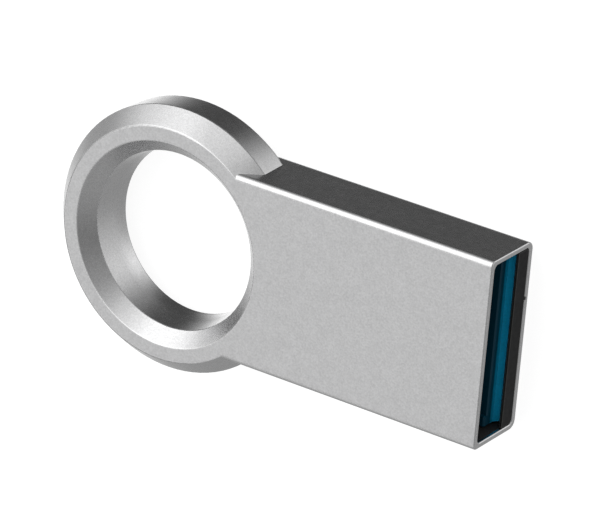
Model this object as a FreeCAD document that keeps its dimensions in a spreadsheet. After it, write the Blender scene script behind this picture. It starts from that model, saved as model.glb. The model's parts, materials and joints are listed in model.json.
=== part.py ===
"""A solid-state USB flash drive whose metal body is one casting: a thick bevelled keyring
loop that runs straight into the rectangular shell of a USB type A plug.

Frame: the drive lies flat.  +X points out of the plug's mouth, +Y across its width, +Z out
of the broad face on the side of the mating gap.  The origin is at the middle of the
bounding box, on the plane that the drive lies on.  Lengths are in millimetres.
"""

import FreeCAD, Part
import Sketcher
import math
import os

VECTOR = FreeCAD.Vector

# ---------------------------------------------------------------- driving dimensions

DIMENSIONS = {
    # the casting: keyring loop and plug shell
    "ring_outer_radius": 8.5,
    "ring_face_outer_radius": 7.5,
    "ring_face_inner_radius": 6.56,
    "bore_mouth_radius": 5.68,
    "bore_land_radius": 5.44,
    "bore_land_top": 1.8,
    "bore_taper_round": 5.0,
    "rim_draft": 0.06,
    "block_start": 4.0,
    "outer_bevel_depth": 1.25,
    "inner_bevel_depth": 0.95,
    "ring_edge_round": 0.13,
    "opening_reach": 22.8,
    "plug_width": 12.1,
    "plug_thickness": 4.5,
    "gap_side_edge_round": 0.36,
    "back_side_edge_round": 0.55,
    "rim_round": 0.1,
    "wall": 0.36,
    "cavity_depth": 15.0,
    "cavity_corner_round": 0.3,
    "key_slot_width": 0.24,
    "key_slot_depth": 0.12,
    "key_slot_length": 0.6,
    "key_offset": 2.42,
    "key_clearance": 0.03,
    # the black tray under the tongue
    "tray_half_width": 5.64,
    "tray_recess": 0.05,
    "tray_floor": 0.48,
    "lip_height": 0.61,
    "lip_top_length": 0.14,
    "tray_end_gap": 0.15,
    "tray_end_wall": 0.3,
    "tray_side_wall": 0.3,
    # the blue contact tongue
    "tongue_half_width": 5.55,
    "tongue_recess": 0.6,
    "tongue_reach": 11.0,
    "nose_length": 0.85,
    "mating_gap": 1.95,
    "rail_width": 0.63,
    "rail_height": 0.3,
    "nose_edge_bevel": 0.08,
    "nose_foot_length": 0.25,
    "nose_foot_height": 0.36,
    "holder_edge_bevel": 0.18,
    # circuit board and what is soldered to it
    "board_thickness": 0.4,
    "board_half_width": 5.3,
    "board_clearance": 0.06,
    "package_height": 0.42,
    "memory_length": 8.0,
    "memory_width": 9.0,
    "memory_front_reach": 2.3,
    "controller_length": 2.6,
    "controller_width": 4.0,
    "controller_front_reach": 11.1,
    "rear_window_width": 9.6,
    "window_margin": 0.2,
    "package_bevel": 0.08,
    "board_corner_round": 0.3,
    # the four flat contacts
    "contact_width": 1.0,
    "contact_sheet": 0.3,
    "contact_groove_depth": 0.04,
    "contact_groove_margin": 0.05,
    "contact_bend_round": 0.15,
    "contact_tip_drop": 0.18,
    "contact_tip_slope": 0.3,
    "contact_root_reach": 8.9,
    "power_contact_length": 7.41,
    "data_contact_length": 6.41,
    "power_contact_offset": 3.5,
    "data_contact_offset": 1.0,
    # the five sprung contacts
    "spring_width": 0.6,
    "spring_sheet": 0.15,
    "spring_pitch": 2.0,
    "spring_slot_width": 0.9,
    "spring_slot_length": 2.6,
    "spring_crest_reach": 9.4,
    "spring_crest_height": 2.66,
    "spring_crest_round": 0.4,
    "spring_bend_round": 0.12,
    "spring_tip_length": 0.75,
    "spring_tip_drop": 0.42,
    "spring_strip_height": 1.66,
    "holder_length": 0.9,
    "holder_height": 1.3,
    "foot_length": 0.35,
    "foot_gap": 0.15,
    "solder_length": 0.25,
    "solder_height": 0.12,
    # insulation and bonding
    "film_thickness": 0.05,
    "film_reach": 3.6,
    "adhesive_half_width": 4.8,
    "adhesive_height": 0.6,
}


# Small parts soldered on top of the board, behind the spring holder, and groups of parts
# under it, beside the controller: extents along X, Y and Z, and each piece's middle along Y.
REAR_PARTS = {
    "power_inductor": (1.6, 0.8, 0.8, (-4.7,)),
    "voltage_regulator": (1.6, 1.6, 0.6, (-3.2,)),
    "clock_crystal": (1.2, 1.6, 0.4, (-1.3,)),
    "surge_protector": (1.0, 2.5, 0.5, (1.05,)),
    "ferrite_bead": (1.0, 0.5, 0.5, (2.85,)),
    "pull_up_resistor": (1.0, 0.5, 0.35, (3.7,)),
    "bulk_capacitor": (1.6, 0.8, 0.8, (4.7,)),
}
UNDER_PARTS = {
    "decoupling_capacitors": (0.6, 0.3, 0.33, (-3.0, -2.5, 2.5, 3.0)),
    "coupling_capacitors": (0.6, 0.3, 0.33, (-4.1, -3.6)),
    "termination_resistors": (0.6, 0.3, 0.26, (3.6, 4.1)),
}
for part_name, (length, width, height, middles) in (REAR_PARTS | UNDER_PARTS).items():
    DIMENSIONS[f"{part_name}_length"] = length
    DIMENSIONS[f"{part_name}_width"] = width
    DIMENSIONS[f"{part_name}_height"] = height
    for number, middle in enumerate(middles, start=1):
        DIMENSIONS[f"{part_name}_offset_{number}"] = middle


class Size:
    """A length that carries both its value and the sheet expression it comes from."""

    def __init__(self, value, text):
        self.value = float(value)
        self.text = text

    @staticmethod
    def of(other):
        if isinstance(other, Size):
            return other
        return Size(other, f"{other:g}" if other >= 0 else f"(0 - {-other:g})")

    def join(self, sign, other, value):
        return Size(value, f"({self.text} {sign} {Size.of(other).text})")

    def __add__(self, other):
        return self.join("+", other, self.value + Size.of(other).value)

    def __sub__(self, other):
        return self.join("-", other, self.value - Size.of(other).value)

    def __mul__(self, other):
        return self.join("*", other, self.value * Size.of(other).value)

    def __truediv__(self, other):
        return self.join("/", other, self.value / Size.of(other).value)

    def __neg__(self):
        return Size(-self.value, f"(0 - {self.text})")


def add_sheet(document):
    """Put every driving dimension in a spreadsheet cell that carries its name."""
    sheet = document.addObject("Spreadsheet::Sheet", "Sizes")
    for row, (name, value) in enumerate(DIMENSIONS.items(), start=1):
        sheet.set(f"A{row}", name)
        sheet.set(f"B{row}", str(value))
        sheet.setAlias(f"B{row}", name)
    document.recompute()
    return {name: Size(value, f"Sizes.{name}") for name, value in DIMENSIONS.items()}


doc = FreeCAD.newDocument("FlashDrive")
size = add_sheet(doc)

# ---------------------------------------------------------------- places worked out from them

OVERALL_LENGTH = size["ring_outer_radius"] + size["opening_reach"]
MOUTH_X = OVERALL_LENGTH / 2
RING_X = size["ring_outer_radius"] - MOUTH_X
HALF_WIDTH = size["plug_width"] / 2
TOP_Z = size["plug_thickness"]
CAVITY_END_X = MOUTH_X - size["cavity_depth"]
CAVITY_HALF_WIDTH = HALF_WIDTH - size["wall"]
FLOOR_Z = size["wall"]
CEILING_Z = TOP_Z - size["wall"]
BED_Z = FLOOR_Z + size["tray_floor"]
BOARD_TOP_Z = BED_Z + size["board_thickness"]
RAIL_TOP_Z = CEILING_Z - size["mating_gap"]
LAND_Z = RAIL_TOP_Z - size["rail_height"]
TRAY_FRONT_X = MOUTH_X - size["tray_recess"]
TRAY_BACK_X = CAVITY_END_X + size["tray_end_gap"]
NOSE_FRONT_X = MOUTH_X - size["tongue_recess"]
NOSE_BACK_X = NOSE_FRONT_X - size["nose_length"]
NOSE_FACE_X = NOSE_FRONT_X - size["nose_foot_length"]
TONGUE_BACK_X = MOUTH_X - size["tongue_reach"]
BOARD_FRONT_X = NOSE_BACK_X - size["board_clearance"]
BOARD_BACK_X = TRAY_BACK_X + size["tray_end_wall"] + size["board_clearance"]
HOLDER_BACK_X = TONGUE_BACK_X - size["holder_length"]
CONTACT_ROOT_X = MOUTH_X - size["contact_root_reach"]
CONTACT_BASE_Z = LAND_Z - size["contact_groove_depth"]
CONTACT_TOP_Z = CONTACT_BASE_Z + size["contact_sheet"]
FOOT_FRONT_X = HOLDER_BACK_X - size["foot_gap"]
FOOT_BACK_X = FOOT_FRONT_X - size["foot_length"]
SPRING_CREST_X = MOUTH_X - size["spring_crest_reach"]

FLAT_CONTACTS = {
    "contact_power": (-size["power_contact_offset"], size["power_contact_length"]),
    "contact_data_minus": (-size["data_contact_offset"], size["data_contact_length"]),
    "contact_data_plus": (size["data_contact_offset"], size["data_contact_length"]),
    "contact_ground": (size["power_contact_offset"], size["power_contact_length"]),
}
SPRING_CONTACTS = {
    "spring_contact_transmit_minus": size["spring_pitch"] * -2,
    "spring_contact_transmit_plus": size["spring_pitch"] * -1,
    "spring_contact_drain": size["spring_pitch"] * 0,
    "spring_contact_receive_minus": size["spring_pitch"] * 1,
    "spring_contact_receive_plus": size["spring_pitch"] * 2,
}

# ---------------------------------------------------------------- sketching helpers

ORIGIN_POINT = (-1, 1)


def new_body(label):
    body = doc.addObject("PartDesign::Body", label)
    body.Label = label
    return body


def new_sketch(body, plane_role, height=None, shift_x=None):
    """An empty sketch on one of the body's origin planes, lifted by height along its normal."""
    sketch = body.newObject("Sketcher::SketchObject", "Sketch")
    plane = [feature for feature in body.Origin.OriginFeatures if feature.Role == plane_role]
    sketch.AttachmentSupport = [(plane[0], "")]
    sketch.MapMode = "FlatFace"
    if height is not None:
        sketch.setExpression(".AttachmentOffset.Base.z", height.text)
    if shift_x is not None:
        sketch.setExpression(".AttachmentOffset.Base.x", shift_x.text)
    return sketch


def pin_point(sketch, geometry, point, across, up):
    """Hold one sketch point at (across, up) from the sketch's origin."""
    for kind, length in (("DistanceX", across), ("DistanceY", up)):
        constraint = Sketcher.Constraint(kind, *ORIGIN_POINT, geometry, point, length.value)
        index = sketch.addConstraint(constraint)
        sketch.setExpression(f"Constraints[{index}]", length.text)


def corner_arc(before, corner, after, radius):
    """The arc that rounds a corner: its geometry, end points, and whether it turns left."""
    back = (before - corner).normalize()
    onward = (after - corner).normalize()
    half_angle = back.getAngle(onward) / 2
    reach = radius / math.tan(half_angle)
    start = corner + back * reach
    end = corner + onward * reach
    centre = corner + (back + onward).normalize() * (radius / math.sin(half_angle))
    turns_left = (corner - before).cross(after - corner).z > 0
    first, last = (start, end) if turns_left else (end, start)
    angles = [math.atan2(point.y - centre.y, point.x - centre.x) for point in (first, last)]
    circle = Part.Circle(centre, VECTOR(0, 0, 1), radius)
    return Part.ArcOfCircle(circle, angles[0], angles[1]), start, end, turns_left


def add_outline(sketch, corners):
    """Draw a closed outline through corners (across, up) or (across, up, corner radius)."""
    count = len(corners)
    spots = [VECTOR(corner[0].value, corner[1].value, 0) for corner in corners]
    arcs = {}
    starts = list(spots)
    ends = list(spots)
    for index, corner in enumerate(corners):
        if len(corner) == 3:
            before = spots[index - 1]
            after = spots[(index + 1) % count]
            arc, ends[index], starts[index], left = corner_arc(
                before, spots[index], after, corner[2].value)
            arcs[index] = (arc, left)
    lines = []
    for index in range(count):
        following = (index + 1) % count
        lines.append(sketch.addGeometry(Part.LineSegment(starts[index], ends[following])))
    for index, corner in enumerate(corners):
        arriving = lines[index - 1]
        leaving = lines[index]
        if index not in arcs:
            sketch.addConstraint(Sketcher.Constraint("Coincident", arriving, 2, leaving, 1))
            pin_point(sketch, leaving, 1, corner[0], corner[1])
            continue
        arc, left = arcs[index]
        bend = sketch.addGeometry(arc)
        first, last = (1, 2) if left else (2, 1)
        sketch.addConstraint(Sketcher.Constraint("Tangent", arriving, 2, bend, first))
        sketch.addConstraint(Sketcher.Constraint("Tangent", bend, last, leaving, 1))
        radius = sketch.addConstraint(Sketcher.Constraint("Radius", bend, corner[2].value))
        sketch.setExpression(f"Constraints[{radius}]", corner[2].text)
        vertex = sketch.addGeometry(Part.Point(spots[index]), True)
        pin_point(sketch, vertex, 1, corner[0], corner[1])
        for line in (arriving, leaving):
            sketch.addConstraint(Sketcher.Constraint("PointOnObject", vertex, 1, line))


def box_corners(low_across, high_across, low_up, high_up, low_round=None, high_round=None):
    """A rectangle's corners, with one radius for its two low and one for its two high ones."""
    low = () if low_round is None else (low_round,)
    high = () if high_round is None else (high_round,)
    return [
        (low_across, low_up, *low),
        (high_across, low_up, *low),
        (high_across, high_up, *high),
        (low_across, high_up, *high),
    ]


def extrude(body, kind, sketch, length, reverse=False, both_sides=False):
    feature = body.newObject(f"PartDesign::{kind}", kind)
    feature.Profile = sketch
    feature.Reversed = reverse
    feature.Midplane = both_sides
    feature.setExpression("Length", length.text)
    sketch.Visibility = False
    doc.recompute()
    return feature


def turn(body, kind, sketch):
    """Revolve a sketch all round the vertical axis through its own origin."""
    feature = body.newObject(f"PartDesign::{kind}", kind)
    feature.Profile = sketch
    feature.ReferenceAxis = (sketch, ["V_Axis"])
    feature.Angle = 360
    doc.recompute()
    return feature


def soften(body, kind, base, names, amount):
    """Fillet or chamfer the named edges or faces of a feature."""
    feature = body.newObject(f"PartDesign::{kind}", kind)
    feature.Base = (base, names)
    feature.setExpression("Radius" if kind == "Fillet" else "Size", amount.text)
    doc.recompute()
    return feature


def edges_where(feature, wanted):
    return [f"Edge{index}" for index, edge in enumerate(feature.Shape.Edges, start=1) if wanted(edge)]


def lies_at(edge, axis, place):
    """Whether the whole edge is in the plane where the axis coordinate equals place."""
    box = edge.BoundBox
    low = getattr(box, f"{axis}Min")
    high = getattr(box, f"{axis}Max")
    return abs(low - place.value) < 1e-4 and abs(high - place.value) < 1e-4


def checked_cut(body, sketch, length, reverse=False, both_sides=False):
    """A pocket that must really remove material."""
    before = body.Tip.Shape.Volume
    pocket = extrude(body, "Pocket", sketch, length, reverse, both_sides)
    if pocket.Shape.Volume > before - 1e-4:
        raise ValueError(f"a pocket in {body.Label} removes nothing")
    return pocket


# ---------------------------------------------------------------- the casting

def make_housing():
    body = new_body("housing")

    # plug block, from inside the loop's hole to the mouth
    face_middle = (size["ring_face_outer_radius"] + size["ring_face_inner_radius"]) / 2
    block = new_sketch(body, "YZ_Plane", MOUTH_X)
    add_outline(block, box_corners(
        -HALF_WIDTH, HALF_WIDTH, Size.of(0), TOP_Z,
        size["back_side_edge_round"], size["gap_side_edge_round"]))
    extrude(body, "Pad", block, size["opening_reach"] - size["block_start"], reverse=True)

    # the block's end is hollowed to a circle that lies inside the loop's section
    clearing = new_sketch(body, "XY_Plane", TOP_Z, RING_X)
    circle = clearing.addGeometry(
        Part.Circle(VECTOR(0, 0, 0), VECTOR(0, 0, 1), face_middle.value))
    clearing.addConstraint(Sketcher.Constraint("Coincident", circle, 3, *ORIGIN_POINT))
    radius = clearing.addConstraint(Sketcher.Constraint("Radius", circle, face_middle.value))
    clearing.setExpression(f"Constraints[{radius}]", face_middle.text)
    checked_cut(body, clearing, TOP_Z)

    # the loop: a bevelled section with softened corners, turned about its own centre; its bore
    # narrows from the gap side to a straight land, and its rim has a slight draft
    loop = new_sketch(body, "XZ_Plane", shift_x=RING_X)
    soft = size["ring_edge_round"]
    land = size["bore_land_radius"]
    face_in = size["ring_face_inner_radius"]
    face_out = size["ring_face_outer_radius"]
    rim = size["ring_outer_radius"]
    inner_bevel = size["inner_bevel_depth"]
    outer_bevel = size["outer_bevel_depth"]
    add_outline(loop, [
        (land, inner_bevel, soft),
        (face_in, Size.of(0), soft),
        (face_out, Size.of(0), soft),
        (rim - size["rim_draft"], outer_bevel, soft),
        (rim, TOP_Z - outer_bevel, soft),
        (face_out, TOP_Z, soft),
        (face_in, TOP_Z, soft),
        (size["bore_mouth_radius"], TOP_Z - inner_bevel, soft),
        (land, size["bore_land_top"], size["bore_taper_round"]),
    ])
    turn(body, "Revolution", loop)

    # the plug's cavity, open at the mouth
    cavity = new_sketch(body, "YZ_Plane", MOUTH_X)
    add_outline(cavity, box_corners(
        -CAVITY_HALF_WIDTH, CAVITY_HALF_WIDTH, FLOOR_Z, CEILING_Z,
        size["cavity_corner_round"], size["cavity_corner_round"]))
    hollow = checked_cut(body, cavity, size["cavity_depth"])

    # rounded rim round the mouth
    rim_edges = edges_where(hollow, lambda edge: lies_at(edge, "X", MOUTH_X))
    soften(body, "Fillet", hollow, rim_edges, size["rim_round"])

    # keyway in the back wall, just inside the mouth
    keyway = new_sketch(body, "YZ_Plane", MOUTH_X)
    half_key = size["key_slot_width"] / 2
    add_outline(keyway, box_corners(
        size["key_offset"] - half_key, size["key_offset"] + half_key,
        FLOOR_Z - size["key_slot_depth"], BED_Z))
    checked_cut(body, keyway, size["key_slot_length"])
    return body


# ---------------------------------------------------------------- tray and tongue

def make_tray():
    """Black tray: carries the board, and its front lip closes the space below the tongue."""
    body = new_body("carrier_tray")
    lip_top = BED_Z + size["lip_height"]
    profile = new_sketch(body, "XZ_Plane")
    add_outline(profile, [
        (TRAY_BACK_X, FLOOR_Z),
        (TRAY_FRONT_X, FLOOR_Z),
        (TRAY_FRONT_X, lip_top),
        (TRAY_FRONT_X - size["lip_top_length"], lip_top),
        (NOSE_FRONT_X, BED_Z),
        (NOSE_BACK_X, BED_Z),
        (NOSE_BACK_X, BOARD_TOP_Z),
        (TRAY_BACK_X, BOARD_TOP_Z),
    ])
    slab = extrude(body, "Pad", profile, size["tray_half_width"] * 2, both_sides=True)

    # long lower edges follow the cavity's rounded corners
    lower = edges_where(slab, lambda edge: lies_at(edge, "Z", FLOOR_Z)
                        and edge.BoundBox.YLength < 1e-4)
    soften(body, "Fillet", slab, lower, size["cavity_corner_round"])

    bed = new_sketch(body, "XY_Plane", BOARD_TOP_Z)
    bed_half_width = size["tray_half_width"] - size["tray_side_wall"]
    bed_back = TRAY_BACK_X + size["tray_end_wall"]
    add_outline(bed, box_corners(bed_back, NOSE_BACK_X, -bed_half_width, bed_half_width))
    checked_cut(body, bed, size["board_thickness"])

    # windows in the floor, where the packages under the board hang
    margin = size["window_margin"]
    for front_reach, length, width in (
            (size["memory_front_reach"], size["memory_length"], size["memory_width"]),
            (size["controller_front_reach"], size["controller_length"],
             size["rear_window_width"])):
        front = MOUTH_X - front_reach + margin
        back = front - length - margin * 2
        half = width / 2 + margin
        window = new_sketch(body, "XY_Plane", BED_Z)
        add_outline(window, box_corners(back, front, -half, half))
        checked_cut(body, window, size["tray_floor"])

    # locating key that stands in the casting's keyway
    key = new_sketch(body, "XY_Plane", FLOOR_Z)
    clearance = size["key_clearance"]
    half_key = size["key_slot_width"] / 2 - clearance
    key_back = MOUTH_X - size["key_slot_length"] + clearance
    add_outline(key, box_corners(
        key_back, TRAY_FRONT_X, size["key_offset"] - half_key, size["key_offset"] + half_key))
    extrude(body, "Pad", key, size["key_slot_depth"] - clearance, reverse=True)
    return body


def make_tongue():
    """Blue tongue: a plate over the board, a nose with a sloped foot, and two raised rails."""
    body = new_body("contact_tongue")
    profile = new_sketch(body, "XZ_Plane")
    foot_top = BED_Z + size["nose_foot_height"]
    add_outline(profile, [
        (TONGUE_BACK_X, BOARD_TOP_Z),
        (NOSE_BACK_X, BOARD_TOP_Z),
        (NOSE_BACK_X, BED_Z),
        (NOSE_FRONT_X, BED_Z),
        (NOSE_FACE_X, foot_top),
        (NOSE_FACE_X, LAND_Z),
        (TONGUE_BACK_X, LAND_Z),
    ])
    half = size["tongue_half_width"]
    extrude(body, "Pad", profile, half * 2, both_sides=True)
    for side in (-1, 1):
        rail = new_sketch(body, "XY_Plane", LAND_Z)
        outer = half * side
        inner = (half - size["rail_width"]) * side
        low, high = (outer, inner) if side < 0 else (inner, outer)
        add_outline(rail, box_corners(TONGUE_BACK_X, NOSE_FACE_X, low, high))
        extrude(body, "Pad", rail, size["rail_height"])

    # the edges round the top of the nose's face, above the foot
    nose_edges = edges_where(body.Tip, lambda edge: lies_at(edge, "X", NOSE_FACE_X)
                             and edge.BoundBox.ZMin > LAND_Z.value - 1e-4)
    soften(body, "Chamfer", body.Tip, nose_edges, size["nose_edge_bevel"])

    # shallow grooves and through slots for the flat contacts
    margin = size["contact_groove_margin"]
    for offset, length in FLAT_CONTACTS.values():
        low = offset - size["contact_width"] / 2 - margin
        high = offset + size["contact_width"] / 2 + margin
        tip = CONTACT_ROOT_X + length
        groove = new_sketch(body, "XY_Plane", LAND_Z)
        add_outline(groove, box_corners(CONTACT_ROOT_X - margin, tip + margin, low, high))
        checked_cut(body, groove, size["contact_groove_depth"])
        slot = new_sketch(body, "XY_Plane", LAND_Z)
        slot_front = CONTACT_ROOT_X + size["contact_sheet"] + size["solder_length"] + margin
        add_outline(slot, box_corners(CONTACT_ROOT_X - margin, slot_front, low, high))
        checked_cut(body, slot, LAND_Z - BOARD_TOP_Z)

    # open slots that the sprung contacts are pressed down into
    for offset in SPRING_CONTACTS.values():
        low = offset - size["spring_slot_width"] / 2
        high = offset + size["spring_slot_width"] / 2
        slot = new_sketch(body, "XY_Plane", LAND_Z)
        slot_front = TONGUE_BACK_X + size["spring_slot_length"]
        add_outline(slot, box_corners(TONGUE_BACK_X - margin, slot_front, low, high))
        checked_cut(body, slot, LAND_Z - BOARD_TOP_Z - size["spring_sheet"])
    return body


# ---------------------------------------------------------------- contacts

def make_flat_contact(label, offset, length):
    """A flat strip on the tongue, bent down at its root to reach the board."""
    body = new_body(label)
    tip = CONTACT_ROOT_X + length
    sheet = size["contact_sheet"]
    profile = new_sketch(body, "XZ_Plane", -offset)
    add_outline(profile, [
        (CONTACT_ROOT_X, BOARD_TOP_Z),
        (CONTACT_ROOT_X + sheet, BOARD_TOP_Z),
        (CONTACT_ROOT_X + sheet, CONTACT_BASE_Z),
        (tip, CONTACT_BASE_Z),
        (tip, CONTACT_TOP_Z - size["contact_tip_drop"]),
        (tip - size["contact_tip_slope"], CONTACT_TOP_Z),
        (CONTACT_ROOT_X, CONTACT_TOP_Z, size["contact_bend_round"]),
    ])
    extrude(body, "Pad", profile, size["contact_width"], both_sides=True)
    return body


def add_path(sketch, corners):
    """Draw an open path whose inner corners (across, up, radius) are rounded."""
    spots = [VECTOR(corner[0].value, corner[1].value, 0) for corner in corners]
    start = spots[0]
    arriving = None
    for index in range(1, len(corners)):
        inner = index < len(corners) - 1
        if inner:
            arc, end, next_start, left = corner_arc(
                spots[index - 1], spots[index], spots[index + 1], corners[index][2].value)
        else:
            end = spots[index]
        line = sketch.addGeometry(Part.LineSegment(start, end))
        if arriving is None:
            pin_point(sketch, line, 1, corners[0][0], corners[0][1])
        else:
            sketch.addConstraint(Sketcher.Constraint("Tangent", bend, last, line, 1))
            sketch.addConstraint(Sketcher.Constraint("PointOnObject", vertex, 1, line))
        arriving = line
        if inner:
            bend = sketch.addGeometry(arc)
            first, last = (1, 2) if left else (2, 1)
            sketch.addConstraint(Sketcher.Constraint("Tangent", arriving, 2, bend, first))
            value = corners[index][2]
            radius = sketch.addConstraint(Sketcher.Constraint("Radius", bend, value.value))
            sketch.setExpression(f"Constraints[{radius}]", value.text)
            vertex = sketch.addGeometry(Part.Point(spots[index]), True)
            pin_point(sketch, vertex, 1, corners[index][0], corners[index][1])
            sketch.addConstraint(Sketcher.Constraint("PointOnObject", vertex, 1, arriving))
            start = next_start
    pin_point(sketch, arriving, 2, corners[-1][0], corners[-1][1])


def make_spring_contact(label, offset):
    """A sprung strip: soldered foot, riser, run through the holder, raised and curved blade."""
    body = new_body(label)
    half_sheet = size["spring_sheet"] / 2
    foot_z = BOARD_TOP_Z + half_sheet
    strip_z = size["spring_strip_height"]
    bend = size["spring_bend_round"]
    crest = size["spring_crest_round"]
    path = new_sketch(body, "XZ_Plane", -offset)
    add_path(path, [
        (FOOT_BACK_X, foot_z),
        (FOOT_FRONT_X, foot_z, bend),
        (FOOT_FRONT_X, strip_z, bend),
        (TONGUE_BACK_X + bend, strip_z, crest),
        (SPRING_CREST_X, size["spring_crest_height"], crest),
        (SPRING_CREST_X + size["spring_tip_length"],
         size["spring_crest_height"] - size["spring_tip_drop"]),
    ])
    section = new_sketch(body, "YZ_Plane", FOOT_BACK_X)
    half_width = size["spring_width"] / 2
    add_outline(section, box_corners(
        offset - half_width, offset + half_width, BOARD_TOP_Z, BOARD_TOP_Z + half_sheet * 2))
    strip = body.newObject("PartDesign::AdditivePipe", "Strip")
    strip.Profile = section
    strip.Spine = (path, [])
    doc.recompute()
    return body


def make_spring_holder():
    """Moulded block behind the tongue that clamps the five sprung strips."""
    body = new_body("spring_holder")
    block = new_sketch(body, "XY_Plane", BOARD_TOP_Z)
    half = size["board_half_width"]
    add_outline(block, box_corners(HOLDER_BACK_X, TONGUE_BACK_X, -half, half))
    pad = extrude(body, "Pad", block, size["holder_height"])
    top_z = BOARD_TOP_Z + size["holder_height"]
    top = edges_where(pad, lambda edge: lies_at(edge, "Z", top_z))
    soften(body, "Chamfer", pad, top, size["holder_edge_bevel"])
    half_sheet = size["spring_sheet"] / 2
    strip_z = size["spring_strip_height"]
    for offset in SPRING_CONTACTS.values():
        half_width = size["spring_width"] / 2
        passage = new_sketch(body, "YZ_Plane", TONGUE_BACK_X)
        add_outline(passage, box_corners(
            offset - half_width, offset + half_width,
            strip_z - half_sheet, strip_z + half_sheet))
        checked_cut(body, passage, size["holder_length"])
    return body


# ---------------------------------------------------------------- board and packages

def make_circuit_board():
    body = new_body("circuit_board")
    outline = new_sketch(body, "XY_Plane", BED_Z)
    half = size["board_half_width"]
    corner = size["board_corner_round"]
    add_outline(outline, box_corners(
        BOARD_BACK_X, BOARD_FRONT_X, -half, half, corner, corner))
    extrude(body, "Pad", outline, size["board_thickness"])
    return body


def make_package(label, front_reach, length, width):
    """A thin moulded package that hangs under the board, bevelled round its lower face."""
    body = new_body(label)
    outline = new_sketch(body, "XY_Plane", BED_Z)
    front = MOUTH_X - front_reach
    half = width / 2
    add_outline(outline, box_corners(front - length, front, -half, half))
    pad = extrude(body, "Pad", outline, size["package_height"], reverse=True)
    lower_z = BED_Z - size["package_height"]
    lower = edges_where(pad, lambda edge: lies_at(edge, "Z", lower_z))
    soften(body, "Chamfer", pad, lower, size["package_bevel"])
    return body


def new_box(label, corner, extents):
    """A block from its low corner (x, y, z) and its extents along x, y and z."""
    box = doc.addObject("Part::Box", label)
    box.Label = label
    for name, extent in zip(("Length", "Width", "Height"), extents):
        box.setExpression(name, extent.text)
    for axis, place in zip("xyz", corner):
        box.setExpression(f"Placement.Base.{axis}", place.text)
    return box


def gather(label, members):
    """One node of several separate identical pieces."""
    group = doc.addObject("Part::Compound", label)
    group.Label = label
    group.Links = members
    return group


def make_small_parts(label, middles, centre_x, base_z, hangs=False):
    """Blocks of one kind in a row across the board, standing on it or hanging under it."""
    extents = [size[f"{label}_{name}"] for name in ("length", "width", "height")]
    low_z = base_z - extents[2] if hangs else base_z
    boxes = []
    for number in range(1, len(middles) + 1):
        low_y = size[f"{label}_offset_{number}"] - extents[1] / 2
        name = label if len(middles) == 1 else f"{label}_{number}"
        boxes.append(new_box(name, (centre_x - extents[0] / 2, low_y, low_z), extents))
    return boxes[0] if len(boxes) == 1 else gather(label, boxes)


def make_solder_joints():
    """Solder in front of each flat contact's leg and behind each sprung contact's foot."""
    extents = [size["solder_length"], size["spring_width"], size["solder_height"]]
    places = [(CONTACT_ROOT_X + size["contact_sheet"], offset)
              for offset, _ in FLAT_CONTACTS.values()]
    places += [(FOOT_BACK_X - size["solder_length"], offset)
               for offset in SPRING_CONTACTS.values()]
    joints = []
    for number, (low_x, offset) in enumerate(places, start=1):
        corner = (low_x, offset - size["spring_width"] / 2, BOARD_TOP_Z)
        joints.append(new_box(f"solder_joint_{number}", corner, extents))
    return gather("solder_joints", joints)


def make_insulating_film():
    """Film on the cavity's ceiling, over the parts behind the spring holder."""
    corner = (TRAY_BACK_X, -size["board_half_width"], CEILING_Z - size["film_thickness"])
    extents = (size["film_reach"], size["board_half_width"] * 2, size["film_thickness"])
    return new_box("insulating_film", corner, extents)


def make_adhesive_bead():
    """Bead that bonds the tray's end wall to the blind end of the cavity."""
    corner = (CAVITY_END_X, -size["adhesive_half_width"], FLOOR_Z)
    extents = (size["tray_end_gap"], size["adhesive_half_width"] * 2, size["adhesive_height"])
    return new_box("adhesive_bead", corner, extents)


# ---------------------------------------------------------------- assembly and export

def make_all():
    nodes = [make_housing(), make_tray(), make_tongue(), make_spring_holder()]
    for label, (offset, length) in FLAT_CONTACTS.items():
        nodes.append(make_flat_contact(label, offset, length))
    for label, offset in SPRING_CONTACTS.items():
        nodes.append(make_spring_contact(label, offset))
    nodes.append(make_circuit_board())
    nodes.append(make_package(
        "memory_package", size["memory_front_reach"],
        size["memory_length"], size["memory_width"]))
    nodes.append(make_package(
        "controller", size["controller_front_reach"],
        size["controller_length"], size["controller_width"]))
    rear_x = (BOARD_BACK_X + FOOT_BACK_X - size["solder_length"]) / 2
    for label, (*_, middles) in REAR_PARTS.items():
        nodes.append(make_small_parts(label, middles, rear_x, BOARD_TOP_Z))
    under_x = MOUTH_X - size["controller_front_reach"] - size["controller_length"] / 2
    for label, (*_, middles) in UNDER_PARTS.items():
        nodes.append(make_small_parts(label, middles, under_x, BED_Z, hangs=True))
    nodes += [make_solder_joints(), make_insulating_film(), make_adhesive_bead()]
    return nodes


def check_and_write(nodes):
    """Refuse any failed object or bad shape, then write one STEP file for each node."""
    doc.recompute()
    failed = [thing.Label for thing in doc.Objects
              if any(word in ("Invalid", "Error") for word in thing.State)]
    bad = [node.Label for node in nodes if node.Shape.isNull() or not node.Shape.isValid()]
    if failed or bad:
        raise ValueError(f"failed objects: {failed}; bad shapes: {bad}")
    os.makedirs("parts", exist_ok=True)
    for node in nodes:
        node.Shape.exportStep(f"parts/{node.Label}.step")
        box = node.Shape.BoundBox
        print(f"{node.Label}: {len(node.Shape.Solids)} solid(s), {node.Shape.Volume:.4f} mm3, "
              f"x {box.XMin:.3f} {box.XMax:.3f}, y {box.YMin:.3f} {box.YMax:.3f}, "
              f"z {box.ZMin:.3f} {box.ZMax:.3f}")


check_and_write(make_all())
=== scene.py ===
import json
import math
import bpy
from mathutils import Matrix, Vector


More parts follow.
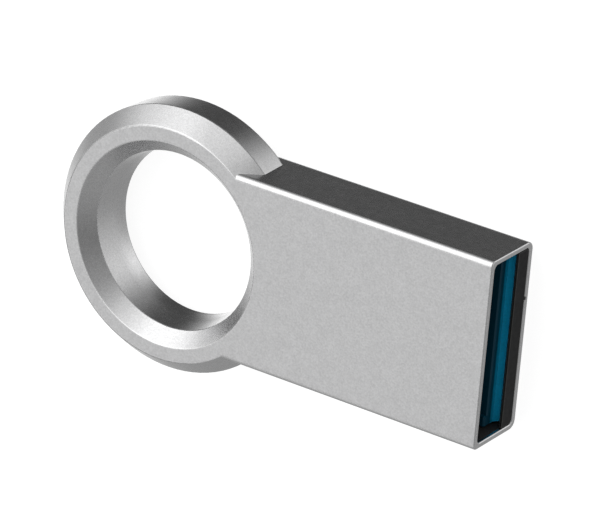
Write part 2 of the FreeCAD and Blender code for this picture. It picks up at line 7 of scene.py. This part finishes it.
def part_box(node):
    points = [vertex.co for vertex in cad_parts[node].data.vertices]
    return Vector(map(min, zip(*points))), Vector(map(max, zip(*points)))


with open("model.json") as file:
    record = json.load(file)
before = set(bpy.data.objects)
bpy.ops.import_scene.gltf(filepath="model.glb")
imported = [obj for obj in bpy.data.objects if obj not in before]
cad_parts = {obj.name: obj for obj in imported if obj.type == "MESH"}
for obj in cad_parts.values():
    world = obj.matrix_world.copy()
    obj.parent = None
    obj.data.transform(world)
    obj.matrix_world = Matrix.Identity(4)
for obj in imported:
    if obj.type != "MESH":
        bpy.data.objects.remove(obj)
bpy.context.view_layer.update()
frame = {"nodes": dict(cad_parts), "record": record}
nodes = frame["nodes"]

MM = 0.001
PER_MM = 1000.0

# ---------------------------------------------------------------- camera

CAMERA_AZIMUTH = math.radians(129.6)
CAMERA_ELEVATION = math.radians(50.43)
CAMERA_ROLL = math.radians(117.72)
CAMERA_DISTANCE = 296.3 * MM
CAMERA_LENS = 298.7
CAMERA_AIM = Vector((1.15, 0.92, 2.25)) * MM
CLIP_NEAR_SHARE = 0.1
CLIP_FAR_SHARE = 20


def make_camera():
    data = bpy.data.cameras.new("photo_camera")
    camera = bpy.data.objects.new("photo_camera", data)
    bpy.context.scene.collection.objects.link(camera)
    data.lens = CAMERA_LENS
    data.clip_start = CAMERA_DISTANCE * CLIP_NEAR_SHARE
    data.clip_end = CAMERA_DISTANCE * CLIP_FAR_SHARE
    flat = math.cos(CAMERA_ELEVATION)
    towards = Vector((
        math.sin(CAMERA_AZIMUTH) * flat,
        -math.cos(CAMERA_AZIMUTH) * flat,
        math.sin(CAMERA_ELEVATION),
    ))
    upright = (-towards).to_track_quat("-Z", "Y").to_matrix()
    turned = upright @ Matrix.Rotation(-CAMERA_ROLL, 3, "Z")
    camera.matrix_world = Matrix.Translation(
        CAMERA_AIM + towards * CAMERA_DISTANCE) @ turned.to_4x4()
    bpy.context.scene.camera = camera


# ---------------------------------------------------------------- shader helpers

# Noise mostly runs between these two values, so they map to the ends of a range.
NOISE_LOW = 0.25
NOISE_HIGH = 0.75
EDGE_SAMPLES = 6
# An edge is fully paled, as wear and as painted highlight, where its rounded and its true direction
# agree no better than this cosine.
EDGE_AGREEMENT = 0.9


class Shader:
    """Short calls that build one node tree."""

    def __init__(self, tree):
        self.tree = tree
        tree.nodes.clear()

    def feed(self, socket, value):
        if isinstance(value, bpy.types.NodeSocket):
            self.tree.links.new(value, socket)
        else:
            socket.default_value = value

    def node(self, kind, settings=None, **inputs):
        made = self.tree.nodes.new(f"ShaderNode{kind}")
        for name, value in (settings or {}).items():
            setattr(made, name, value)
        for name, value in inputs.items():
            self.feed(made.inputs[name.replace("_", " ")], value)
        return made

    def sums(self, operation, *values, clamp=False):
        made = self.node("Math", {"operation": operation, "use_clamp": clamp})
        for socket, value in zip(made.inputs, values):
            self.feed(socket, value)
        return made.outputs[0]

    def place(self):
        return self.node("TexCoord").outputs["Object"]

    def up(self, vector):
        """The Z part of a vector."""
        return self.node("SeparateXYZ", Vector=vector).outputs["Z"]

    def noise(self, per_mm, detail=2.0, stretch=(1.0, 1.0, 1.0), twist=0.0):
        """Noise with per_mm cells in a millimetre, stretched along the object's own axes."""
        scale = [per_mm * PER_MM / along for along in stretch]
        mapping = self.node("Mapping", Vector=self.place(), Scale=scale)
        made = self.node("TexNoise", Vector=mapping.outputs[0], Scale=1.0, Detail=detail,
                         Distortion=twist)
        return made.outputs["Fac"]

    def spread(self, value, low, high, start=NOISE_LOW, end=NOISE_HIGH):
        """Low where the value is at start, high where it is at end, and in between them between."""
        made = self.node("MapRange", Value=value, From_Min=start, From_Max=end,
                         To_Min=low, To_Max=high)
        return made.outputs[0]

    def blend(self, factor, first, second):
        made = self.node("Mix", {"data_type": "RGBA"})
        self.feed(made.inputs[0], factor)
        for socket, value in zip(made.inputs[6:8], (first, second)):
            self.feed(socket, value)
        return made.outputs[2]

    def scaled(self, colour, factor):
        made = self.node("VectorMath", {"operation": "SCALE"}, Scale=factor)
        self.feed(made.inputs[0], colour)
        return made.outputs[0]

    def edges(self, radius_mm):
        """How strongly a point lies on a convex or concave edge, from 0 to 1."""
        bent = self.node("Bevel", {"samples": EDGE_SAMPLES}, Radius=radius_mm * MM)
        true = self.node("NewGeometry")
        meet = self.node("VectorMath", {"operation": "DOT_PRODUCT"})
        self.feed(meet.inputs[0], bent.outputs[0])
        self.feed(meet.inputs[1], true.outputs["Normal"])
        return self.spread(meet.outputs["Value"], 1.0, 0.0, EDGE_AGREEMENT, 1.0)


def shade(colour, factor):
    return tuple(min(1.0, channel * factor) for channel in colour) + (1.0,)


# ---------------------------------------------------------------- finishes

# For each material slot: base colour, how metallic, roughness from and to, fine grain (cells in a
# millimetre and height in millimetres), broad mottling (cells in a millimetre and share of the
# colour), speckle (the share of the colour that the grain varies), clear coat, the grain's stretch
# along X, Y and Z, gloss (how strongly a moulding reflects), how much paler the edges are (wear,
# and on the plated casting a painted highlight), and the pattern that only some slots have.
FINISHES = {
    "plated_casting": dict(colour=(0.68, 0.68, 0.684), metallic=1.0, roughness=(0.23, 0.29),
                           grain=(9.0, 0.003), mottle=(0.9, 0.025), speckle=0.085, wear_and_highlight=1.0,
                           pattern="casting"),
    "black_moulding": dict(colour=(0.007, 0.007, 0.0073), roughness=(0.46, 0.6),
                           grain=(9.0, 0.004), mottle=(1.2, 0.15), gloss=0.25, wear_and_highlight=0.12),
    "blue_moulding": dict(colour=(0.003, 0.42, 0.74), roughness=(0.42, 0.56),
                          grain=(6.0, 0.002), mottle=(0.5, 0.1), stretch=(3.0, 1.0, 1.0),
                          gloss=0.3, wear_and_highlight=0.05, pattern="tongue"),
    "gold_plated_contact": dict(colour=(0.9, 0.64, 0.28), metallic=1.0, roughness=(0.18, 0.34),
                                grain=(14.0, 0.0015), mottle=(1.5, 0.08),
                                stretch=(9.0, 1.0, 1.0), wear_and_highlight=0.1),
    "board_laminate": dict(colour=(0.01, 0.085, 0.032), roughness=(0.28, 0.42),
                           grain=(5.0, 0.003), mottle=(0.8, 0.12), coat=0.5, wear_and_highlight=0.3,
                           pattern="weave"),
    "package_resin": dict(colour=(0.022, 0.022, 0.023), roughness=(0.5, 0.68),
                          grain=(12.0, 0.006), mottle=(1.4, 0.14), wear_and_highlight=0.2),
    "ferrite": dict(colour=(0.06, 0.055, 0.055), roughness=(0.55, 0.75),
                    grain=(10.0, 0.008), mottle=(2.0, 0.2), pattern="caps", wear_and_highlight=0.25),
    "crystal_can": dict(colour=(0.66, 0.63, 0.55), metallic=1.0, roughness=(0.22, 0.36),
                        grain=(9.0, 0.002), mottle=(1.6, 0.06), stretch=(5.0, 1.0, 1.0),
                        wear_and_highlight=0.12),
    "resistor_body": dict(colour=(0.03, 0.03, 0.032), roughness=(0.3, 0.46),
                          grain=(10.0, 0.004), mottle=(2.5, 0.15), pattern="caps", wear_and_highlight=0.2),
    "capacitor_body": dict(colour=(0.42, 0.3, 0.19), roughness=(0.42, 0.6),
                           grain=(11.0, 0.004), mottle=(2.5, 0.12), pattern="caps", wear_and_highlight=0.15),
    "solder": dict(colour=(0.68, 0.68, 0.7), metallic=1.0, roughness=(0.14, 0.36),
                   grain=(7.0, 0.008), mottle=(3.0, 0.1), wear_and_highlight=0.05),
    "amber_film": dict(colour=(0.5, 0.24, 0.035), roughness=(0.14, 0.26),
                       grain=(4.0, 0.002), mottle=(0.7, 0.1), coat=0.6, wear_and_highlight=0.2),
    "epoxy": dict(colour=(0.1, 0.09, 0.07), roughness=(0.16, 0.36),
                  grain=(3.0, 0.012), mottle=(1.0, 0.2), coat=0.5, wear_and_highlight=0.1),
}
USUAL_SPECKLE = 0.06
USUAL_GLOSS = 0.5
SPECKLE_LOW = 0.3
SPECKLE_HIGH = 0.7
ROUGHNESS_FINER = 3
RELIEF_STRENGTH = 0.7
COAT_ROUGHNESS = 0.12
# edges paled towards white: wear, and on the plated casting a painted highlight along its edges
WEAR_AND_HIGHLIGHT_EDGE_MM = 0.12
WEAR_AND_HIGHLIGHT_WHITE = 0.6

# the metal terminals of chip parts: their share of the length at each end
CAP_SHARE = 0.2
CAP_COLOUR = (0.68, 0.67, 0.65, 1.0)

# the glass cloth in the board
WEAVE_PER_MM = 0.8
WEAVE_WOBBLE = 0.6
WEAVE_GRAIN = 0.4

# the inside of the plug's shell, in the frame's own axes
CAVITY_HALF_WIDTH = 5.72 * MM
CAVITY_FRONT_X = 15.45 * MM
CAVITY_BACK_X = 0.6 * MM
CAVITY_LOW_Z = 0.33 * MM
CAVITY_HIGH_Z = 4.17 * MM
# painted shade: the cavity's walls are painted near black and matte, standing for the shade inside
# the shell
CAVITY_SHADE_COLOUR = (0.02, 0.02, 0.021, 1.0)
CAVITY_ROUGHNESS = 0.8

# the casting's level tops and undersides
LEVEL_TILT = 0.98
LEVEL_DULLER = 0.34

# the tongue: painted shade on top and on the upper part of its nose, and a painted highlight that
# makes the nose's foot brightest
TONGUE_SHADE_SHARE = 0.13
UPPER_FACE_TILT = 0.65
NOSE_SHADE_LOW_Z = 1.36 * MM
NOSE_SHADE_HIGH_Z = 1.56 * MM
# painted highlight: the nose grows brighter towards its foot
TOE_LOW_Z = 0.9 * MM
TOE_HIGH_Z = 1.3 * MM
TOE_PAINTED_HIGHLIGHT = 1.45


def end_caps(shader, node_name):
    """1 on the metal terminals at both ends of a chip part, along X, and 0 on its body."""
    low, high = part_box(node_name)
    middle = (low[0] + high[0]) / 2
    half = (high[0] - low[0]) / 2
    across = shader.node("SeparateXYZ", Vector=shader.place()).outputs["X"]
    away = shader.sums("ABSOLUTE", shader.sums("SUBTRACT", across, middle))
    return shader.sums("GREATER_THAN", away, half * (1 - 2 * CAP_SHARE))


def cavity(shader):
    """1 on the walls of the plug's cavity, which are painted near black and matte as painted shade,
    and 0 elsewhere.
    """
    place = shader.node("SeparateXYZ", Vector=shader.place())
    along, across, up = place.outputs
    tests = [
        shader.sums("LESS_THAN", along, CAVITY_FRONT_X),
        shader.sums("GREATER_THAN", along, CAVITY_BACK_X),
        shader.sums("LESS_THAN", shader.sums("ABSOLUTE", across), CAVITY_HALF_WIDTH),
        shader.sums("GREATER_THAN", up, CAVITY_LOW_Z),
        shader.sums("LESS_THAN", up, CAVITY_HIGH_Z),
    ]
    cavity_shade = tests[0]
    for test in tests[1:]:
        cavity_shade = shader.sums("MULTIPLY", cavity_shade, test)
    return cavity_shade


def upward(shader):
    """How far a face looks up: 1 for a level top, 0 for a wall and -1 for a level underside."""
    return shader.up(shader.node("NewGeometry").outputs["True Normal"])


def level_face(shader):
    """1 on level tops and undersides, which the blasting leaves duller than the bevels."""
    return shader.sums("GREATER_THAN", shader.sums("ABSOLUTE", upward(shader)), LEVEL_TILT)


def tongue_painted_shade(shader):
    """1 on the tongue's upper side and the top of its nose, which get painted shade standing for the
    shell's shade.
    """
    above = shader.spread(shader.up(shader.place()), 0.0, 1.0, NOSE_SHADE_LOW_Z,
                          NOSE_SHADE_HIGH_Z)
    upper = shader.sums("GREATER_THAN", upward(shader), UPPER_FACE_TILT)
    return shader.sums("MAXIMUM", upper, above)


def weave(shader):
    """Raised threads of the glass cloth that shows through the solder mask."""
    threads = []
    for direction in ("X", "Y"):
        wave = shader.node("TexWave", {"bands_direction": direction}, Scale=PER_MM * WEAVE_PER_MM,
                           Vector=shader.place(), Distortion=WEAVE_WOBBLE, Detail=1.0)
        threads.append(wave.outputs["Fac"])
    return shader.sums("MAXIMUM", *threads)


def make_finish(slot, node_name):
    spec = FINISHES[slot]
    material = bpy.data.materials.new(f"{slot}.{node_name}")
    material.use_nodes = True
    shader = Shader(material.node_tree)
    colour = spec["colour"]
    stretch = spec.get("stretch", (1.0, 1.0, 1.0))
    broad_scale, share = spec["mottle"]
    grain_scale, height = spec["grain"]

    broad = shader.noise(broad_scale, detail=4.0, twist=0.4)
    fine = shader.noise(grain_scale, detail=3.0, stretch=stretch)
    worn_and_highlit = shader.edges(WEAR_AND_HIGHLIGHT_EDGE_MM)

    body = shader.blend(shader.spread(broad, 0.0, 1.0),
                        shade(colour, 1 - share), shade(colour, 1 + share))
    speckle = spec.get("speckle", USUAL_SPECKLE)
    toned = shader.scaled(body, shader.spread(fine, 1 - speckle, 1 + speckle, SPECKLE_LOW,
                                              SPECKLE_HIGH))
    # edges paled towards white: wear, and on the plated casting a painted highlight along its edges
    paler = shader.blend(shader.sums("MULTIPLY", worn_and_highlit, spec["wear_and_highlight"]), toned,
                         shade([WEAR_AND_HIGHLIGHT_WHITE + (1 - WEAR_AND_HIGHLIGHT_WHITE) * channel for channel in colour], 1.0))
    metallic = spec.get("metallic", 0.0)
    rough = shader.spread(shader.noise(broad_scale * ROUGHNESS_FINER, detail=3.0), *spec["roughness"])
    relief = fine
    if spec.get("pattern") == "weave":
        relief = shader.sums("ADD", shader.sums("MULTIPLY", fine, WEAVE_GRAIN), weave(shader))
    if spec.get("pattern") == "casting":
        # painted shade: the walls of the plug's cavity turn near black and matte
        cavity_shade = cavity(shader)
        duller = shader.sums("MULTIPLY", level_face(shader), LEVEL_DULLER)
        paler = shader.blend(cavity_shade, paler, CAVITY_SHADE_COLOUR)
        rough = shader.sums("MAXIMUM", shader.sums("ADD", rough, duller),
                            shader.sums("MULTIPLY", cavity_shade, CAVITY_ROUGHNESS))
        metallic = shader.sums("SUBTRACT", 1.0, cavity_shade)
    if spec.get("pattern") == "tongue":
        # painted highlight: the blue is painted brighter towards the nose's foot
        toe_highlight = shader.spread(shader.up(shader.place()), TOE_PAINTED_HIGHLIGHT, 1.0, TOE_LOW_Z, TOE_HIGH_Z)
        # painted shade: the tongue's top and upper nose take a dark copy of the blue
        paler = shader.blend(tongue_painted_shade(shader), shader.scaled(paler, toe_highlight),
                             shade(colour, TONGUE_SHADE_SHARE))
    if spec.get("pattern") == "caps":
        cap = end_caps(shader, node_name)
        paler = shader.blend(cap, paler, CAP_COLOUR)
        metallic = cap

    bump = shader.node("Bump", Height=relief, Strength=RELIEF_STRENGTH, Distance=height * MM)
    surface = shader.node("BsdfPrincipled", Base_Color=paler, Metallic=metallic,
                          Roughness=rough, Normal=bump.outputs[0],
                          Coat_Weight=spec.get("coat", 0.0), Coat_Roughness=COAT_ROUGHNESS,
                          Specular_IOR_Level=spec.get("gloss", USUAL_GLOSS))
    shader.node("OutputMaterial", Surface=surface.outputs[0])
    return material


# ---------------------------------------------------------------- stage and light

# Studio light by direction: azimuth from +X towards +Y, elevation, sharpness and strength.
# A negative strength is a black card.
AMBIENT = 0.36
LIGHTS = {
    "side_softbox": (125.0, 30.0, 18.0, 2.3),
    "side_softbox_left": (150.0, 12.0, 22.0, 0.72),
    "side_softbox_right": (82.0, 26.0, 16.0, 0.6),
    "high_softbox": (158.0, 50.0, 22.0, 1.1),
    "top_strip": (118.0, 68.0, 18.0, 1.05),
    "overhead_card": (-140.0, 50.0, 6.0, 0.5),
    "front_bounce": (42.0, -48.0, 17.0, 0.85),
    "mouth_bounce": (5.0, -12.0, 10.0, 0.45),
    "back_bounce": (-157.0, -50.0, 18.0, 1.1),
    "black_card": (123.0, -51.0, 8.0, -0.46),
    "mouth_card": (0.0, 12.0, 9.0, -0.3),
}
DARKEST = 0.07
BRIGHTEST = 1.6
BACKGROUND = (1.0, 1.0, 1.0, 1.0)
FLOOR_HALF = 3.0
FLOOR_GLOW = 0.86
FLOOR_COLOUR = (0.35, 0.35, 0.35, 1.0)
FLOOR_ROUGHNESS = 0.9


def direction_of(azimuth, elevation):
    azimuth, elevation = math.radians(azimuth), math.radians(elevation)
    flat = math.cos(elevation)
    return (flat * math.cos(azimuth), flat * math.sin(azimuth), math.sin(elevation))


def make_light():
    world = bpy.data.worlds.new("studio")
    bpy.context.scene.world = world
    world.use_nodes = True
    shader = Shader(world.node_tree)
    towards = shader.node("TexCoord").outputs["Generated"]
    total = AMBIENT
    for azimuth, elevation, sharpness, strength in LIGHTS.values():
        meet = shader.node("VectorMath", {"operation": "DOT_PRODUCT"})
        shader.feed(meet.inputs[0], towards)
        shader.feed(meet.inputs[1], direction_of(azimuth, elevation))
        fall = shader.sums("MULTIPLY", shader.sums("SUBTRACT", meet.outputs["Value"], 1.0),
                           sharpness)
        glow = shader.sums("MULTIPLY", shader.sums("EXPONENT", fall), strength)
        total = shader.sums("ADD", glow, total)
    total = shader.sums("MINIMUM", shader.sums("MAXIMUM", total, DARKEST), BRIGHTEST)
    lit = shader.node("Background", Color=BACKGROUND, Strength=total)
    plain = shader.node("Background", Color=BACKGROUND, Strength=1.0)
    seen = shader.node("LightPath").outputs["Is Camera Ray"]
    mix = shader.node("MixShader", Fac=seen)
    shader.feed(mix.inputs[1], lit.outputs[0])
    shader.feed(mix.inputs[2], plain.outputs[0])
    shader.node("OutputWorld", Surface=mix.outputs[0])
    bpy.context.scene.view_settings.view_transform = "Standard"


def make_floor():
    data = bpy.data.meshes.new("floor")
    corners = [(-FLOOR_HALF, -FLOOR_HALF, 0), (FLOOR_HALF, -FLOOR_HALF, 0),
               (FLOOR_HALF, FLOOR_HALF, 0), (-FLOOR_HALF, FLOOR_HALF, 0)]
    data.from_pydata(corners, [], [(0, 1, 2, 3)])
    floor = bpy.data.objects.new("floor", data)
    bpy.context.scene.collection.objects.link(floor)
    material = bpy.data.materials.new("pale_floor")
    material.use_nodes = True
    shader = Shader(material.node_tree)
    surface = shader.node("BsdfPrincipled", Base_Color=FLOOR_COLOUR, Roughness=FLOOR_ROUGHNESS,
                          Emission_Color=BACKGROUND, Emission_Strength=FLOOR_GLOW)
    shader.node("OutputMaterial", Surface=surface.outputs[0])
    data.materials.append(material)
    # the floor is only seen: the object's own light comes from the studio on every side
    floor.visible_glossy = False
    floor.visible_diffuse = False
    floor.visible_shadow = False


# ---------------------------------------------------------------- the object

def dress_nodes():
    slots = {part["node"]: part["material_slot"] for part in frame["record"]["subparts"]}
    for name, thing in nodes.items():
        thing.data.materials.clear()
        thing.data.materials.append(make_finish(slots[name], name))


make_camera()
make_light()
make_floor()
dress_nodes()
